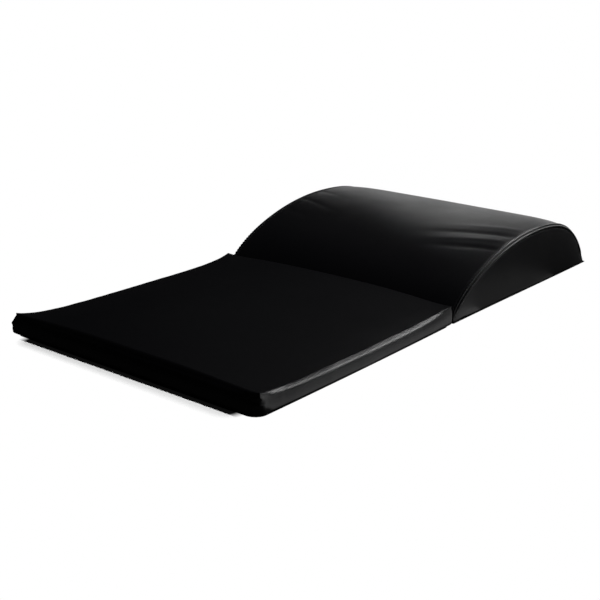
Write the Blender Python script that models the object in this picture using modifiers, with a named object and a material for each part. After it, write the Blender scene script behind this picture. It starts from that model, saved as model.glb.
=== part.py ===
"""Folding exercise mat: a flat pad joined to an arched bolster by a cloth hinge.

The width runs along X and the length along Y, with the pad at the low end. The floor is at Z = 0,
and the origin is on the floor under the middle of the mat. Each cushion is a foam core in a sewn
cover of coated fabric, with a flat base panel. A strip of the same fabric, whose two tails are
sewn in between the foam and the base panels, joins the cushions and lets the pad fold.
"""

import math

import bmesh
import bpy
import numpy as np

# Whole mat, in metres
MAT_WIDTH = 0.370
PAD_LENGTH = 0.382
PAD_THICKNESS = 0.0225
FOLD_GAP = 0.004
BOLSTER_LENGTH = 0.404
BOLSTER_HEIGHT = 0.0825

# Covers
COVER_THICKNESS = 0.0012
FIT_CLEARANCE = 0.0004

# Cushion form of the pad. It is fullest in the middle and along the rear edge, which meets the
# bolster, and flatter along the front. The side edges sag between corners that stand up as small
# ears. From a straight base the walls stand almost upright and lean in towards the top.
SIDE_LEAN = 0.002
SIDE_DRAW_IN = 0.0015
PAD_CROWN = 0.008
FRONT_CROWN = 0.0045
CROWN_SQUARENESS = 3
SIDE_SAG = 0.0055
SAG_POWER = 4
EAR_RISE = 0.004
REAR_EAR_SHARE = 0.6
EDGE_ROUND = 0.004
FRONT_EDGE_ROUND = 0.007
EAR_ROUND = 0.003
BASE_CORNER_ROUND = 0.004
EAR_POWER = 10
WALL_POWER = 3

# Cushion form of the bolster: the top panel is fuller in the middle than at its seams
CROWN_RISE = 0.0055
CROWN_POWER = 8

# Side outline of the bolster, in shares of its length and height
CREST_SHARE = 0.552
TOE_RISE_SHARE = 0.32
CREST_LEAD_SHARE = 0.32
CREST_TRAIL_SHARE = 0.187
HEEL_LEAN_SHARE = 0.105
HEEL_RISE_SHARE = 0.876

# Hinge strip and the line that the pad folds about
STRIP_THICKNESS = 0.001
STRIP_TAIL = 0.012
STRIP_SIDE_MARGIN = 0.004
FOLD_LINE_DROP = 0.0005

# How finely the cushions are divided
TOP_LINE_SHARES = (0.0, 0.35, 0.65, 0.85)
WALL_LINE_SHARES = (0.5, 0.8)
ARCH_SPANS = 26
CROWN_SPANS = 12
ARCH_POINTS = 27
SAME_PLACE = 0.00001
SMOOTH_ANGLE = math.radians(50)

# Places worked out from the sizes
MAT_LENGTH = PAD_LENGTH + FOLD_GAP + BOLSTER_LENGTH
PAD_CENTRE = (PAD_LENGTH - MAT_LENGTH) / 2
FOLD_LINE = PAD_CENTRE + (PAD_LENGTH + FOLD_GAP) / 2
TOE = FOLD_LINE + FOLD_GAP / 2
CORE_INSET = COVER_THICKNESS + FIT_CLEARANCE
STRIP_BOTTOM = COVER_THICKNESS + FIT_CLEARANCE
STRIP_LENGTH = FOLD_GAP + 2 * STRIP_TAIL
STRIP_WIDTH = MAT_WIDTH - 2 * STRIP_SIDE_MARGIN

# How far a cutter runs past what it cuts
CUT_OVERRUN = 0.005

# Colours as red, green, blue, with roughness
COVER_LOOK = ((0.012, 0.012, 0.013), 0.42)
BASE_LOOK = ((0.016, 0.016, 0.017), 0.60)
STRIP_LOOK = ((0.010, 0.010, 0.011), 0.70)
FOAM_LOOK = ((0.12, 0.12, 0.125), 0.95)


def clear_scene():
    """Removes whatever the open file holds."""
    for thing in list(bpy.data.objects):
        bpy.data.objects.remove(thing)


def collection(name):
    group = bpy.data.collections.new(name)
    bpy.context.scene.collection.children.link(group)
    return group


def material(name, look):
    colour, roughness = look
    made = bpy.data.materials.new(name)
    made.use_nodes = True
    shader = made.node_tree.nodes["Principled BSDF"]
    shader.inputs["Base Color"].default_value = (*colour, 1.0)
    shader.inputs["Roughness"].default_value = roughness
    shader.inputs["Metallic"].default_value = 0.0
    made.diffuse_color = (*colour, 1.0)
    return made


def mesh_object(name, mesh, look, group):
    """Puts a mesh in an object of its own, shaded smooth up to the sharp folds."""
    mesh.shade_smooth()
    mesh.set_sharp_from_angle(angle=SMOOTH_ANGLE)
    thing = bpy.data.objects.new(name, mesh)
    thing.data.materials.append(material(name + "_finish", look))
    group.objects.link(thing)
    return thing


def finished_mesh(name, bm):
    """Turns the faces outwards and hands the shape over as a mesh."""
    bmesh.ops.recalc_face_normals(bm, faces=bm.faces[:])
    mesh = bpy.data.meshes.new(name)
    bm.to_mesh(mesh)
    bm.free()
    return mesh


def flat_plate(name, outline, thickness, look, group):
    """A plate of even thickness, cut to a closed outline of two-number points."""
    curve = bpy.data.curves.new(name, "CURVE")
    curve.dimensions = "2D"
    curve.fill_mode = "BOTH"
    curve.extrude = thickness / 2
    spline = curve.splines.new("POLY")
    spline.points.add(len(outline) - 1)
    for point, (across, along) in zip(spline.points, outline):
        point.co = (across, along, 0.0, 1.0)
    spline.use_cyclic_u = True
    thing = bpy.data.objects.new(name, curve)
    curve.materials.append(material(name + "_finish", look))
    group.objects.link(thing)
    return thing


def add_thickness(thing, thickness):
    """Gives an open sheet its wall, all of it on the inner side."""
    wall = thing.modifiers.new("Wall", "SOLIDIFY")
    wall.thickness = thickness
    wall.offset = -1.0
    wall.use_rim = True


def cut_with(thing, room):
    cut = thing.modifiers.new("Cut", "BOOLEAN")
    cut.operation = "DIFFERENCE"
    cut.solver = "EXACT"
    cut.object = room


def split_along(bm, axis, place):
    """Adds a line of edges where the plane at this place on the axis meets the shape."""
    point = [0.0, 0.0, 0.0]
    normal = [0.0, 0.0, 0.0]
    point[axis] = place
    normal[axis] = 1.0
    parts = bm.verts[:] + bm.edges[:] + bm.faces[:]
    bmesh.ops.bisect_plane(
        bm, geom=parts, dist=SAME_PLACE, plane_co=point, plane_no=normal
    )


# Pad


def edge_lines(half, round_over):
    """Places of the dividing lines from the middle of a side to its end, in shares of half its
    length. The last two lie where the rounded edge starts and half way round it."""
    return (
        *TOP_LINE_SHARES,
        (half - round_over) / half,
        (half - round_over / 2) / half,
    )


def wall_lines(height, round_over):
    """Places of the dividing lines up the walls, in shares of their height."""
    flank = 1 - round_over / height
    return (*[share * flank for share in WALL_LINE_SHARES], flank, (1 + flank) / 2)


def pad_place(u, v, w, inset, bottom, ears=1.0):
    """The cushion's surface, from a plain box's.

    u and v run from -1 to 1 over the width and the length, and w from 0 to 1 up the height. The
    top is crowned, the side edges sag, and each corner stands up. The point is pulled on to an
    edge round, wide along the front and tighter elsewhere, and then the walls lean in with
    height. With ears at 0 the corners stay down and blunt, as cut foam does inside its cover.
    """
    front = np.maximum(-v, 0.0)
    ear = (np.abs(u) * np.abs(v)) ** EAR_POWER
    full = 1 - np.abs(u) ** CROWN_SQUARENESS
    edge_top = PAD_THICKNESS - inset - SIDE_SAG * (1 - np.abs(v) ** SAG_POWER)
    crown = PAD_CROWN + (FRONT_CROWN - PAD_CROWN) * front**2
    lift = EAR_RISE * ear * np.where(v > 0, REAR_EAR_SHARE, 1.0) * ears
    top = edge_top + (PAD_THICKNESS - inset + crown - edge_top) * full + lift
    up = bottom + w * (top - bottom)
    half_width = MAT_WIDTH / 2 - inset
    half_length = PAD_LENGTH / 2 - inset
    height_share = np.minimum(up / edge_top, 1.0)
    corner_round = (
        BASE_CORNER_ROUND + (EAR_ROUND - BASE_CORNER_ROUND) * height_share * ears
    )
    edge_round = EDGE_ROUND + (FRONT_EDGE_ROUND - EDGE_ROUND) * front**EAR_POWER
    radius = np.maximum(edge_round * (1 - ear) + corner_round * ear - inset, 0.0)

    point = np.stack([u * half_width, v * half_length, up], 1)
    low = np.stack([radius - half_width, radius - half_length, point[:, 2]], 1)
    high = np.stack([half_width - radius, half_length - radius, top - radius], 1)
    centre = np.maximum(np.minimum(point, high), np.minimum(low, high))
    arm = point - centre
    reach = np.linalg.norm(arm, axis=1)
    pull = np.where(reach > 0, radius / np.maximum(reach, SAME_PLACE), 0.0)
    placed = centre + arm * pull[:, None]

    rise = np.minimum(placed[:, 2] / edge_top, 1.0) ** WALL_POWER
    side_in = SIDE_LEAN + SIDE_DRAW_IN * (1 - np.abs(v) ** EAR_POWER)
    end_in = SIDE_LEAN + SIDE_DRAW_IN * (1 - np.abs(u) ** EAR_POWER)
    placed[:, 0] *= 1 - side_in * rise / half_width
    placed[:, 1] *= 1 - end_in * rise / half_length
    return placed


def pad_shape(inset, bottom, ears=1.0):
    """The pad's cushion form as a closed box-like mesh, this far inside its outer face."""
    bm = bmesh.new()
    bmesh.ops.create_cube(bm, size=2.0)
    edge_round, front_round = EDGE_ROUND - inset, FRONT_EDGE_ROUND - inset
    half_width, half_length = MAT_WIDTH / 2 - inset, PAD_LENGTH / 2 - inset
    sides = edge_lines(half_width, edge_round)
    for place in {*sides, *[-share for share in sides]}:
        split_along(bm, 0, place)
    rear, front = edge_lines(half_length, edge_round), edge_lines(half_length, front_round)
    for place in {*rear, *[-share for share in front]}:
        split_along(bm, 1, place)
    height = PAD_THICKNESS - inset - bottom
    for share in {*wall_lines(height, edge_round), *wall_lines(height, front_round)}:
        split_along(bm, 2, 2 * share - 1)
    unit = np.array([vert.co[:] for vert in bm.verts])
    u, v, w = unit[:, 0], unit[:, 1], (unit[:, 2] + 1) / 2
    places = pad_place(u, v, w, inset, bottom, ears)
    for vert, place in zip(bm.verts, places):
        vert.co = place
    return bm


def open_below(bm):
    """Deletes the faces that lie on the floor, which leaves a shell to be given a wall."""
    low = [
        face
        for face in bm.faces
        if all(abs(vert.co.z) < SAME_PLACE for vert in face.verts)
    ]
    bmesh.ops.delete(bm, geom=low, context="FACES")


def pad_outline():
    """Plan of the pad at its base, walked round once from the front left corner."""
    half = MAT_WIDTH / 2
    shares = edge_lines(half, EDGE_ROUND)
    side = np.array([-1.0, *sorted({*shares, *[-share for share in shares]})])
    ones = np.ones_like(side)
    u = np.concatenate([side, ones, -side, -ones])
    v = np.concatenate([-ones, side, ones, -side])
    level = np.zeros_like(u)
    places = pad_place(u, v, level, 0.0, 0.0)
    return [(x, y) for x, y, z in places]


def make_pad(group, carrier, slot, base_room):
    """Cover, foam core and base panel of the pad, hung from the fold line."""
    bm = pad_shape(0.0, 0.0)
    open_below(bm)
    cover = mesh_object("pad_cover", finished_mesh("pad_cover", bm), COVER_LOOK, group)
    add_thickness(cover, COVER_THICKNESS)
    cut_with(cover, base_room)

    bm = pad_shape(CORE_INSET, CORE_INSET, ears=0.0)
    foam = mesh_object("pad_foam", finished_mesh("pad_foam", bm), FOAM_LOOK, group)

    base = flat_plate(
        "pad_base_panel", pad_outline(), COVER_THICKNESS, BASE_LOOK, group
    )
    for piece, lift in ((cover, 0.0), (foam, 0.0), (base, COVER_THICKNESS / 2)):
        piece.parent = carrier
        piece.location = (0.0, PAD_CENTRE - FOLD_LINE, FOLD_LINE_DROP + lift)
    cut_with(cover, slot)
    cut_with(foam, slot)


# Bolster


def bend(p0, p1, p2, p3, t):
    """A cubic curve through p0 and p3, and its direction at each t."""
    p0, p1, p2, p3 = (np.array(p) for p in (p0, p1, p2, p3))
    t = t[:, None]
    s = 1 - t
    place = s**3 * p0 + 3 * s**2 * t * p1 + 3 * s * t**2 * p2 + t**3 * p3
    heading = s**2 * (p1 - p0) + 2 * s * t * (p2 - p1) + t**2 * (p3 - p2)
    return place, heading


def arch_outline(t, inset):
    """Side outline of the bolster: toe at t = 0, crest at 0.5 and heel at 1, as along and up.

    The front is one long bend that leaves the floor upright, and the back one short steep bend.
    """
    length, height = BOLSTER_LENGTH, BOLSTER_HEIGHT
    crest = CREST_SHARE * length
    front, front_way = bend(
        (0.0, 0.0),
        (0.0, TOE_RISE_SHARE * height),
        (crest - CREST_LEAD_SHARE * length, height),
        (crest, height),
        np.clip(2 * t, 0.0, 1.0),
    )
    back, back_way = bend(
        (crest, height),
        (crest + CREST_TRAIL_SHARE * length, height),
        (length - HEEL_LEAN_SHARE * length, HEEL_RISE_SHARE * height),
        (length, 0.0),
        np.clip(2 * t - 1, 0.0, 1.0),
    )
    rear = (t > 1 / 2)[:, None]
    place = np.where(rear, back, front)
    way = np.where(rear, back_way, front_way)
    way /= np.linalg.norm(way, axis=1)[:, None]
    outward = np.stack([-way[:, 1], way[:, 0]], 1)
    return place - outward * inset


def crown_at(u):
    """How much higher the top panel stands than its seams, as a multiple of the seam's height."""
    return 1 + CROWN_RISE / BOLSTER_HEIGHT * (1 - np.abs(u) ** CROWN_POWER)


def arch_sheet(inset, half_width, bottom):
    """The bolster's top as an open sheet, from toe to heel, cut off level at the bottom."""
    bm = bmesh.new()
    bmesh.ops.create_grid(
        bm, x_segments=CROWN_SPANS, y_segments=ARCH_SPANS, size=1.0
    )
    unit = np.array([vert.co[:] for vert in bm.verts])
    u = np.sin(unit[:, 0] * math.pi / 2)
    outline = arch_outline((unit[:, 1] + 1) / 2, inset)
    up = outline[:, 1] * crown_at(u)
    for vert, place in zip(bm.verts, np.stack([u * half_width, outline[:, 0], up], 1)):
        vert.co = place
    parts = bm.verts[:] + bm.edges[:] + bm.faces[:]
    bmesh.ops.bisect_plane(
        bm,
        geom=parts,
        dist=SAME_PLACE,
        plane_co=(0.0, 0.0, bottom),
        plane_no=(0.0, 0.0, 1.0),
        clear_inner=True,
    )
    return bm


def close_block(bm, half_width, bottom):
    """Adds upright sides and a level bottom to the open sheet."""
    rims = [
        edge
        for edge in bm.edges
        if edge.is_boundary
        and all(abs(abs(vert.co.x) - half_width) < SAME_PLACE for vert in edge.verts)
    ]
    dropped = bmesh.ops.extrude_edge_only(bm, edges=rims)["geom"]
    for item in dropped:
        if isinstance(item, bmesh.types.BMVert):
            item.co.z = bottom
    bmesh.ops.remove_doubles(bm, verts=bm.verts[:], dist=SAME_PLACE)
    loose = [edge for edge in bm.edges if edge.is_boundary]
    bmesh.ops.holes_fill(bm, edges=loose, sides=0)


def side_outline():
    """Cut of a side panel, as along and up: the arch less the top panel, closed by its base."""
    arch = arch_outline(np.linspace(0.0, 1.0, ARCH_POINTS), CORE_INSET)
    inner = [tuple(point) for point in arch if point[1] > CORE_INSET]
    toe = (CORE_INSET, CORE_INSET)
    heel_lean = HEEL_LEAN_SHARE * BOLSTER_LENGTH / (HEEL_RISE_SHARE * BOLSTER_HEIGHT)
    heel_inset = CORE_INSET * (math.hypot(1, heel_lean) + heel_lean)
    heel = (BOLSTER_LENGTH - heel_inset, CORE_INSET)
    return [toe, *inner, heel]


def make_bolster(group, slot, base_room):
    """Top, side and base panels of the bolster round its foam core."""
    half = MAT_WIDTH / 2
    bm = arch_sheet(0.0, half, 0.0)
    top = mesh_object(
        "bolster_top_panel", finished_mesh("bolster_top_panel", bm), COVER_LOOK, group
    )
    add_thickness(top, COVER_THICKNESS)
    cut_with(top, base_room)

    bm = arch_sheet(CORE_INSET, half - CORE_INSET, CORE_INSET)
    close_block(bm, half - CORE_INSET, CORE_INSET)
    foam = mesh_object(
        "bolster_foam", finished_mesh("bolster_foam", bm), FOAM_LOOK, group
    )
    for piece in (top, foam):
        piece.location = (0.0, TOE, 0.0)
        cut_with(piece, slot)

    outline = side_outline()
    for name, side in (("left", -1), ("right", 1)):
        panel = flat_plate(
            "bolster_side_panel_" + name, outline, COVER_THICKNESS, COVER_LOOK, group
        )
        panel.location = (side * (half - COVER_THICKNESS / 2), TOE, 0.0)
        panel.rotation_euler = (math.pi / 2, 0.0, math.pi / 2)

    plan = [
        (-half, 0.0),
        (half, 0.0),
        (half, BOLSTER_LENGTH),
        (-half, BOLSTER_LENGTH),
    ]
    base = flat_plate("bolster_base_panel", plan, COVER_THICKNESS, BASE_LOOK, group)
    base.location = (0.0, TOE, COVER_THICKNESS / 2)


# Hinge


def block(name, size, place):
    """A plain box mesh of this size, centred on the object's place."""
    bm = bmesh.new()
    bmesh.ops.create_cube(bm, size=1.0)
    bmesh.ops.scale(bm, vec=size, verts=bm.verts[:])
    mesh = finished_mesh(name, bm)
    thing = bpy.data.objects.new(name, mesh)
    thing.location = place
    return thing


def make_hinge_strip(group):
    """The strip lies on the two base panels, with a bare stretch between the cushions."""
    size = (STRIP_WIDTH, STRIP_LENGTH, STRIP_THICKNESS)
    strip = block(
        "hinge_strip", size, (0.0, FOLD_LINE, STRIP_BOTTOM + STRIP_THICKNESS / 2)
    )
    strip.data.materials.append(material("hinge_strip_finish", STRIP_LOOK))
    group.objects.link(strip)


def cutter(name, size, place, group):
    made = block(name, size, place)
    made.hide_render = True
    made.display_type = "WIRE"
    group.objects.link(made)
    return made


def make_base_room(group):
    """The room under the covers that the base panels take up."""
    size = (
        MAT_WIDTH + 2 * CUT_OVERRUN,
        MAT_LENGTH + 2 * CUT_OVERRUN,
        CORE_INSET + CUT_OVERRUN,
    )
    middle = (0.0, 0.0, (CORE_INSET - CUT_OVERRUN) / 2)
    return cutter("base_room", size, middle, group)


def make_strip_slot(group):
    """The room that the strip's tails take under the covers and the foam. It reaches below the
    pieces that it cuts, so that they end above the strip."""
    top = STRIP_BOTTOM + STRIP_THICKNESS + FIT_CLEARANCE
    size = (
        STRIP_WIDTH + 2 * FIT_CLEARANCE,
        STRIP_LENGTH + 2 * FIT_CLEARANCE,
        top + CUT_OVERRUN,
    )
    middle = (0.0, FOLD_LINE, (top - CUT_OVERRUN) / 2)
    return cutter("strip_slot", size, middle, group)


def main():
    clear_scene()
    group = collection("folding_exercise_mat")
    cutters = collection("cutters")
    slot = make_strip_slot(cutters)
    base_room = make_base_room(cutters)
    carrier = bpy.data.objects.new("pad_fold_line", None)
    carrier.location = (0.0, FOLD_LINE, -FOLD_LINE_DROP)
    group.objects.link(carrier)
    make_pad(group, carrier, slot, base_room)
    make_hinge_strip(group)
    make_bolster(group, slot, base_room)


main()
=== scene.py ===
import math

import bmesh
import bpy
import numpy as np
from mathutils import Matrix, Vector


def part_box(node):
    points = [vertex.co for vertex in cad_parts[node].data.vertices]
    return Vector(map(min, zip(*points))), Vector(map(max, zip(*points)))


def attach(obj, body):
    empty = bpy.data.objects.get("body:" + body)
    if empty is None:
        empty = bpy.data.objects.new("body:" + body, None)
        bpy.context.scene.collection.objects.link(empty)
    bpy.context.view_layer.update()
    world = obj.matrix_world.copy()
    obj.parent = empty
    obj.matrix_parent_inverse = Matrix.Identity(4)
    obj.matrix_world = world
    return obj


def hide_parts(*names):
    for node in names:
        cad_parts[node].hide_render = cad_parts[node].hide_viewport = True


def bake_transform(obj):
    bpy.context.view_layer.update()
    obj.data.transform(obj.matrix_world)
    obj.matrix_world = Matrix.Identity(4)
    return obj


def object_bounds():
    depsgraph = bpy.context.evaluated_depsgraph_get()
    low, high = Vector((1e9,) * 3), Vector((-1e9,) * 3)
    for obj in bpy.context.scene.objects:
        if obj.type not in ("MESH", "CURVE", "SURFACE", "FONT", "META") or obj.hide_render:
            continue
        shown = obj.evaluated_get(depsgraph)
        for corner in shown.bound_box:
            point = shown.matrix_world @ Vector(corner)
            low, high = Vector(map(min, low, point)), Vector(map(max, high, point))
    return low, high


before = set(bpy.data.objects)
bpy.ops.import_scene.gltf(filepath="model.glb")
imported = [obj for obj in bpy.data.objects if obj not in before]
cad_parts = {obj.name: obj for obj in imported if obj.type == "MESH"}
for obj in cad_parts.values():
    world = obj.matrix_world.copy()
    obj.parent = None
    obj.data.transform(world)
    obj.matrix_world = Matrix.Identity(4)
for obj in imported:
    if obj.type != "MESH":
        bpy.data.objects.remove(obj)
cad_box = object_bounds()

# The scene shows a folding exercise mat: a flat pad and an arched bolster in black coated fabric,
# joined by a cloth hinge. The width runs along X and the length along Y, with the pad at the low
# end, and the floor is at Z = 0. Lengths are in metres.

MM = 0.001
TINY = 1e-9

# Places of the solids that the visible pieces are built on
base_low, base_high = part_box("bolster_base_panel")
pad_low, pad_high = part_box("pad_base_panel")
strip_low, strip_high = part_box("hinge_strip")
HALF_WIDTH = base_high.x
TOE = base_low.y
BOLSTER_LENGTH = base_high.y - base_low.y
BOLSTER_HEIGHT = 82.5 * MM
BASE_THICKNESS = base_high.z
PAD_LENGTH = pad_high.y - pad_low.y
PAD_CENTRE = (pad_high.y + pad_low.y) / 2
PAD_THICKNESS = 22.5 * MM
FOLD_LINE = (strip_low.y + strip_high.y) / 2
CUSHION_BOTTOM = BASE_THICKNESS + 0.1 * MM

# The pad's top: its rise over PAD_THICKNESS in the middle and at the front, its tilt at the rear,
# and the sag of its side edges
PAD_CROWN = 8 * MM
FRONT_CROWN = 4.5 * MM
CROWN_SQUARENESS = 3
PAD_TILT = 1.5 * MM
SIDE_SAG = 5.5 * MM

# The pad's walls: how far its foot spreads in plan and bows out at the sides, how far the walls
# lean and are drawn in between the corners, and the room left for the bolster when the pad lifts
PAD_SPREAD = 1.5 * MM
PAD_BOW = 1.5 * MM
SIDE_LEAN = 2 * MM
SIDE_DRAW_IN = 1.5 * MM
REAR_LEAN = 1.5 * MM
REAR_ROOM = 0.8 * MM
WALL_POWER = 3

# Radii of the pad's upper edges, and of its upright edges at the ears and at the base
EDGE_ROUND = 3 * MM
FRONT_EDGE_ROUND = 7 * MM
EAR_ROUND = 3 * MM
BASE_CORNER_ROUND = 4 * MM

# The pad's corners: the ears' rise, and what sets three of them apart. The near right one is
# blunt, the far right one a box corner, and the near left one crisp.
EAR_POWER = 10
EAR_RISE = 4 * MM
REAR_EAR_SHARE = 0.85
BLUNT_CORNER_ROUND = 13 * MM
BLUNT_CORNER_OUT = 4 * MM
BLUNT_CORNER_UP = 2.5 * MM
BLUNT_POWER = 8
BOX_CORNER_OUT = 2.5 * MM
BOX_CORNER_ROUND = 1.6 * MM
CRISP_CORNER_OUT = 1 * MM
CRISP_ROUND_SHARE = 0.5
CRISP_POWER = 3

# Relief of the pad's walls: depths, and how far from a corner each reaches, the pinch's height as
# a share, how creased the corners' grooves are, which sets their roughness and painted shade, and
# the unevenness of the foam
RIPPLE_DEPTH = 0.26 * MM
RIPPLE_CLEAR = 20 * MM
GATHER_DEPTH = 0.3 * MM
GATHER_REACH = 16 * MM
GATHER_FOLDS = 1.9
PINCH_DEPTH = 2.0 * MM
PINCH_REACH = 9 * MM
PINCH_HEIGHT = 0.6
PINCH_SPAN = 0.12
CORNER_GROOVE = 0.3 * MM
CORNER_CREASE = 0.5
FOAM_SWELL = 0.30 * MM

# Share of the pad's width and length that a square grid fills on its top
PAD_INNER_SHARE = 0.8

# The bolster's top panel, and its arch as shares of its length and height
CROWN_RISE = 5.5 * MM
CROWN_POWER = 8
CREST_SHARE = 0.552
TOE_RISE_SHARE = 0.32
CREST_LEAD_SHARE = 0.32
CREST_TRAIL_SHARE = 0.187
HEEL_LEAN_SHARE = 0.105
HEEL_RISE_SHARE = 0.876
OUTLINE_STEPS = 4000
ARCH_LINES = 376

# How the bolster sits: bulge of its sides, spread of its foot, and lift of its lower edges, with
# its place along them, its reach along and up, and how far in under the bolster it reaches
SIDE_BULGE = 2.4 * MM
BULGE_POWER = 0.8
TOE_SPREAD = 1.5 * MM
HEEL_SPREAD = 5 * MM
TOE_LIFT = 2.6 * MM
TOE_LIFT_PLACE = 24 * MM
TOE_LIFT_REACH = 16 * MM
TOE_LIFT_HEIGHT = 30 * MM
RIM_REACH = 50 * MM

# Sewing of the bolster's side seams: the groove, the rolls beside it, the dips along the stitches
# and the pucker at their pitch, which grows towards the toe. Places and widths are distances from
# the seam. All of it, and the unevenness of the cover, starts above the floor by RELIEF_START.
SEAM_ROUND = 2.2 * MM
GROOVE_DEPTH = 2.2 * MM
GROOVE_WIDTH = 0.6 * MM
ROLL_HEIGHT = 1.1 * MM
ROLL_PLACE = 2.2 * MM
ROLL_WIDTH = 1.3 * MM
ROLL_POLISH = 0.7
DIP_DEPTH = 0.5 * MM
DIP_WIDTH = 1.0 * MM
PUCKER_DEPTH = 0.06 * MM
TOE_PUCKER_DEPTH = 0.5 * MM
PUCKER_PLACE = 2.8 * MM
PUCKER_WIDTH = 2.6 * MM
TOE_PUCKER_END = 60 * MM
TOE_PUCKER_FADE = 90 * MM
RELIEF_START = 7 * MM
RELIEF_FADE = 13 * MM
COVER_SWELL = 0.35 * MM

# Folds in the bolster's top panel, in millimetres: distance from the side's middle plane at the
# two ends and the distance along the arch there, width, depth
FOLDS = (
    (178, 194, 50, 146, 8.0, -1.7),
    (179, 145, 70, 114, 7.0, -1.5),
    (176, 170, 60, 130, 7.0, 1.0),
    (176, 220, 60, 174, 8.0, 0.8),
    (-178, 186, -90, 152, 6.0, -0.8),
    (-177, 231, -100, 205, 7.0, -0.6),
    (-176, 142, -110, 120, 6.0, -0.5),
)

# Topstitching
STITCH_ROW = 4.6 * MM
STITCH_PITCH = 5 * MM
STITCH_SHARE = 0.78
STITCH_POINTS = 9
STITCH_MARGIN = 6 * MM
THREAD_RADIUS = 0.42 * MM
THREAD_SIDES = 8
THREAD_RISE = 0.50 * MM
THREAD_SUNK = 0.22 * MM

# Lower rim of the cushions, and the flat cloth: how far the bases stay inside the solids' plan,
# radii of its corners in plan, points round its rim, and the u or v from which a point of its
# loop counts as on that side
TUCK = 0.8 * MM
TUCK_REACH = 8 * MM
BASE_INSET = 0.8 * MM
PAD_BASE_CORNER = 15 * MM
BOLSTER_BASE_CORNER = 2 * MM
TAPE_CORNER = 1 * MM
RIM_POINTS = 7
ON_SIDE = 0.999

# First and last step between the points of a surface. The pad's are along its loop, in over its
# top's edge, and down its wall and in under it as shares. The bolster's are from the seam over
# its top and down its side, and in under it. A slab's are along its loop as a share.
PAD_STEPS = (0.9 * MM, 2.8 * MM)
PAD_EDGE_STEPS = (0.5 * MM, 3.6 * MM)
PAD_WALL_STEPS = (0.02, 0.05)
PAD_UNDER_STEPS = (0.012, 0.25)
TOP_STEPS = (0.45 * MM, 8.0 * MM)
SIDE_STEPS = (0.45 * MM, 6.0 * MM)
UNDER_STEPS = (3 * MM, 40 * MM)
SLAB_STEPS = (0.004, 0.04)

# Coated fabrics: width of a pebble's rim and height of the finer grain over it, as shares of a
# pebble, change of roughness on a pebble and in a seam's groove, scale of the handling marks, and
# the painted shade in a groove's colour
PEBBLE_RIM = 0.22
FINE_GRAIN = 0.35
PEBBLE_POLISH = -0.06
GROOVE_DULLNESS = 0.3
HANDLING_SCALE = 14.0
GROOVE_PAINTED_SHADE = "#020202"
PLASTIC_IOR = 1.5

# The floor: its reach, the colour that the covers mirror and the one that the camera sees, and how
# far from a rectangle, which is narrower than the mat's plan, it turns white. Last the strength of
# the studio's walls, which the covers mirror.
FLOOR_REACH = 30.0
MIRRORED_FLOOR = "#262626"
SEEN_FLOOR = "#fafafa"
WHITE = "#ffffff"
SHADOW_INSET = 40 * MM
FADE_START = 13 * MM
FADE_END = 24 * MM
STUDIO_GLOW = 0.006

# The photograph's camera: its place, how far it is turned from facing along Y, how far it looks
# down and how far it leans to the side
CAMERA_PLACE = (0.7854, -1.1325, 0.4294)
CAMERA_TURN = math.radians(36.829)
CAMERA_DOWN = math.radians(17.788)
CAMERA_ROLL = math.radians(1.856)
LENS = 63.48


# Arithmetic on arrays


def smoothstep(x):
    """0 up to x = 0, 1 from x = 1, and 3x^2 - 2x^3 between."""
    x = np.clip(x, 0.0, 1.0)
    return x * x * (3 - 2 * x)


def bell(x):
    """The curve exp(-x^2)."""
    return np.exp(-(x**2))


def graded(length, first, last):
    """Places from 0 to length whose steps grow evenly from first to last: the k-th of n is
    length (e^(gk/n) - 1) / (e^g - 1), where e^g is the ratio of the steps."""
    growth = math.log(last / first)
    count = round(growth / math.log(1 + (last - first) / length))
    k = np.arange(count + 1) / count
    return length * np.expm1(growth * k) / math.expm1(growth)


def cubic(p0, p1, p2, p3, t):
    """A cubic curve through p0 and p3: s^3 p0 + 3 s^2 t p1 + 3 s t^2 p2 + t^3 p3, s = 1 - t."""
    s = 1 - t
    return s**3 * p0 + 3 * s**2 * t * p1 + 3 * s * t**2 * p2 + t**3 * p3


def distance_along(line):
    """Distance from a line's first point to each of its points."""
    return np.append(0.0, np.cumsum(np.linalg.norm(np.diff(line, axis=0), axis=1)))


def noise(x, y, seed, period=256):
    """Smooth noise from -1 to 1: random heights on whole numbers, joined by 3t^2 - 2t^3. It
    repeats in x after period."""
    table = np.random.default_rng(seed).uniform(-1.0, 1.0, (period, 256))
    i, j = np.floor(x).astype(int), np.floor(y).astype(int)
    a, b = smoothstep(x - i), smoothstep(y - j)
    here = table[i % period, j % 256] * (1 - a) + table[(i + 1) % period, j % 256] * a
    above = table[i % period, (j + 1) % 256] * (1 - a)
    above = above + table[(i + 1) % period, (j + 1) % 256] * a
    return here * (1 - b) + above * b


def ring_normals(points):
    """Unit normals of a grid: the cross product of its two directions, each the difference of
    the neighbours on both sides. The grid joins along its columns, and its last column repeats
    the first."""
    down = np.gradient(points, axis=0)
    ring = points[:, :-1]
    across = np.roll(ring, -1, axis=1) - np.roll(ring, 1, axis=1)
    across = np.concatenate([across, across[:, :1]], axis=1)
    normals = np.cross(across, down)
    length = np.linalg.norm(normals, axis=-1, keepdims=True)
    return normals / np.maximum(length, TINY)


# Making meshes and objects


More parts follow.
